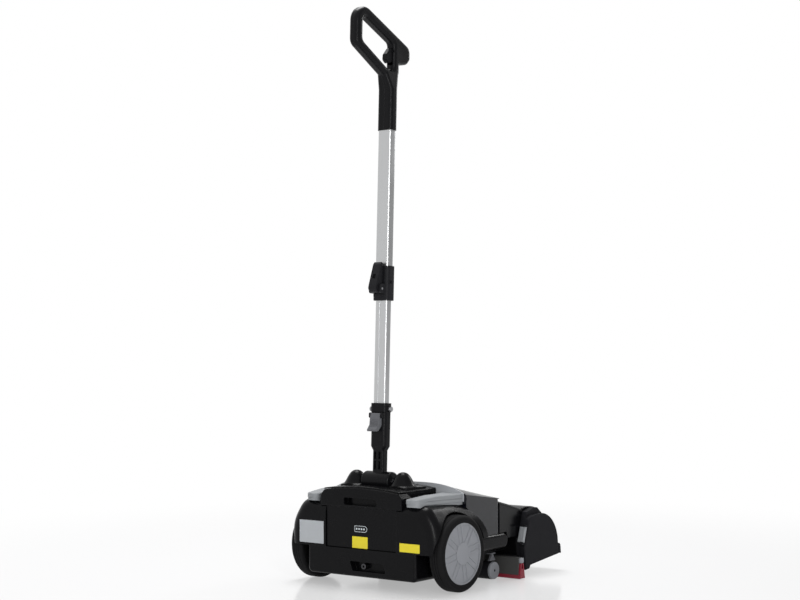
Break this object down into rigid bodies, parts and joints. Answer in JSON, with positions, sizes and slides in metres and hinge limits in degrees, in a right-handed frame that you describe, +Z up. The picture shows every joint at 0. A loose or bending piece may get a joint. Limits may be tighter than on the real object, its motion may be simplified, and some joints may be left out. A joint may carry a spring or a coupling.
{
  "type": "cordless floor scrubber",
  "caption": "Walk-behind cordless floor scrubber with a telescopic loop handle, lift-off dirty-water tank, slide-out battery, rear squeegee and a hinged roller-brush head.",
  "frame": {"origin": "middle of the assembled outline on the floor", "axes": "+X to the machine's right, +Y forward to the brush, +Z up"},
  "size_m": [0.42, 0.5248, 1.2714],
  "materials": {
    "body_black": "moulded black polypropylene, satin",
    "grip_black": "moulded black ABS, fine texture",
    "cover_grey": "moulded light grey ABS, satin",
    "grip_grey": "moulded mid grey ABS, satin",
    "cap_grey": "moulded grey polypropylene",
    "smoky": "smoked translucent polyethylene",
    "tyre": "moulded black rubber tread",
    "hub_black": "moulded black nylon",
    "aluminium": "extruded, satin anodised",
    "steel": "turned, zinc plated",
    "red_rubber": "extruded red polyurethane",
    "dark_rubber": "extruded dark red rubber",
    "bristle": "nylon bristle tufts",
    "motor": "painted motor case",
    "tank_white": "blow-moulded natural polyethylene",
    "belt": "moulded toothless belt",
    "gauge": "gloss black window",
    "brass": "turned contact sleeve"
  },
  "bodies": {
    "chassis": {"chassis_pan": "body_black", "charge_socket": "brass", "main_housing": "body_black", "deck_cover": "body_black", "yoke_cover": "body_black", "pivot_axle": "steel", "wheel_axle": "steel", "head_hinge_pins": "steel", "roller_brackets": "cap_grey", "water_tank": "tank_white", "water_pump": "hub_black", "vacuum_motor": "hub_black"},
    "fan": {"vacuum_fan": "hub_black"},
    "wheel_right": {"tyre_right": "tyre", "hub_right": "hub_black", "hub_cap_right": "cap_grey"},
    "wheel_left": {"tyre_left": "tyre", "hub_left": "hub_black", "hub_cap_left": "cap_grey"},
    "small_roller_right": {"roller_right": "hub_black", "roller_cap_right": "cap_grey"},
    "small_roller_left": {"roller_left": "hub_black", "roller_cap_left": "cap_grey"},
    "battery": {"battery_panel": "body_black", "battery_case": "hub_black", "charge_gauge": "gauge"},
    "tank": {"recovery_tank": "smoky"},
    "tank_cover": {"tank_lid": "cover_grey", "side_grip_right": "grip_grey", "side_grip_left": "grip_grey"},
    "level_float": {"tank_float": "tank_white"},
    "squeegee": {"squeegee_carrier": "body_black", "squeegee_blade_front": "red_rubber", "squeegee_blade_rear": "red_rubber", "squeegee_end_clips": "cover_grey"},
    "head": {"nose_shell": "body_black", "brush_hood": "body_black", "cheek_left": "body_black", "brush_motor": "motor", "drive_belt": "belt", "front_skirt": "body_black", "rear_skirt": "dark_rubber"},
    "side_cheek": {"cheek_right": "body_black"},
    "side_latch": {"cheek_latch": "grip_grey"},
    "brush": {"brush_core": "hub_black", "brush_bristles": "bristle", "brush_pulley": "hub_black"},
    "motor_shaft": {"motor_pulley": "steel"},
    "handle_lower": {"handle_socket": "grip_black", "socket_bolt": "steel", "lower_tube": "aluminium"},
    "tilt_release": {"release_lever": "cap_grey"},
    "handle_upper": {"upper_tube": "aluminium", "clamp_body": "grip_black", "clamp_pin": "steel", "grip_shell_right": "grip_black", "grip_shell_left": "grip_black", "grip_screws": "steel"},
    "tube_clamp": {"clamp_lever": "grip_black"},
    "trigger": {"switch_trigger": "grip_black"}
  },
  "joints": [
    {"name": "wheel_right_spin", "type": "hinge", "parent": "chassis", "child": "wheel_right", "pos_m": [0.1935, -0.15266, 0.082], "axis": [1, 0, 0], "continuous": true},
    {"name": "wheel_left_spin", "type": "hinge", "parent": "chassis", "child": "wheel_left", "pos_m": [-0.1935, -0.15266, 0.082], "axis": [1, 0, 0], "continuous": true},
    {"name": "roller_right_spin", "type": "hinge", "parent": "chassis", "child": "small_roller_right", "pos_m": [0.135, 0.04134, 0.02], "axis": [1, 0, 0], "continuous": true},
    {"name": "roller_left_spin", "type": "hinge", "parent": "chassis", "child": "small_roller_left", "pos_m": [-0.135, 0.04134, 0.02], "axis": [1, 0, 0], "continuous": true},
    {"name": "fan_spin", "type": "hinge", "parent": "chassis", "child": "fan", "pos_m": [-0.04, -0.08266, 0.064], "axis": [1, 0, 0], "continuous": true},
    {"name": "battery_slide", "type": "slide", "parent": "chassis", "child": "battery", "axis": [0, -1, 0], "range_m": [0, 0.11]},
    {"name": "tank_lift", "type": "slide", "parent": "chassis", "child": "tank", "axis": [0, 0, 1], "range_m": [0, 0.13]},
    {"name": "lid_lift", "type": "slide", "parent": "tank", "child": "tank_cover", "axis": [0, 0, 1], "range_m": [0, 0.06]},
    {"name": "float_rise", "type": "slide", "parent": "tank", "child": "level_float", "axis": [0, 0, 1], "range_m": [0, 0.028]},
    {"name": "squeegee_float", "type": "slide", "parent": "chassis", "child": "squeegee", "axis": [0, 0, 1], "range_m": [0, 0.006]},
    {"name": "head_drop", "type": "hinge", "parent": "chassis", "child": "head", "pos_m": [0, 0.03734, 0.0895], "axis": [1, 0, 0], "range_deg": [-6.4, 0]},
    {"name": "cheek_slide", "type": "slide", "parent": "head", "child": "side_cheek", "axis": [1, 0, 0], "range_m": [0, 0.05]},
    {"name": "latch_swing", "type": "hinge", "parent": "side_cheek", "child": "side_latch", "pos_m": [0.191, 0.10964, 0.09589], "axis": [0, 0.3123, 0.95], "range_deg": [0, 70]},
    {"name": "brush_spin", "type": "hinge", "parent": "head", "child": "brush", "pos_m": [0, 0.17586, 0.06569], "axis": [1, 0, 0], "continuous": true},
    {"name": "motor_spin", "type": "hinge", "parent": "head", "child": "motor_shaft", "pos_m": [-0.16, 0.15132, 0.13197], "axis": [1, 0, 0], "continuous": true},
    {"name": "handle_tilt", "type": "hinge", "parent": "chassis", "child": "handle_lower", "pos_m": [0, -0.17466, 0.228], "axis": [1, 0, 0], "range_deg": [0, 62]},
    {"name": "tilt_release_pull", "type": "hinge", "parent": "handle_lower", "child": "tilt_release", "pos_m": [0, -0.1857, 0.37357], "axis": [1, 0, 0], "range_deg": [-14, 0], "stiffness_Nm_per_rad": 0.5, "springref_deg": 5.73},
    {"name": "telescope_slide", "type": "slide", "parent": "handle_lower", "child": "handle_upper", "axis": [0, 0.041, 0.9992], "range_m": [-0.2, 0.05]},
    {"name": "clamp_open", "type": "hinge", "parent": "handle_upper", "child": "tube_clamp", "pos_m": [0, -0.18375, 0.65273], "axis": [1, 0, 0], "range_deg": [0, 100]},
    {"name": "trigger_squeeze", "type": "hinge", "parent": "handle_upper", "child": "trigger", "pos_m": [0, -0.1283, 1.18691], "axis": [1, 0, 0], "range_deg": [0, 14], "stiffness_Nm_per_rad": 0.3, "springref_deg": -5.73}
  ],
  "couplings": [
    {"joint": "handle_tilt", "follows": "head_drop", "ratio": -9.6875},
    {"joint": "motor_spin", "follows": "brush_spin", "ratio": 2.4444}
  ]
}
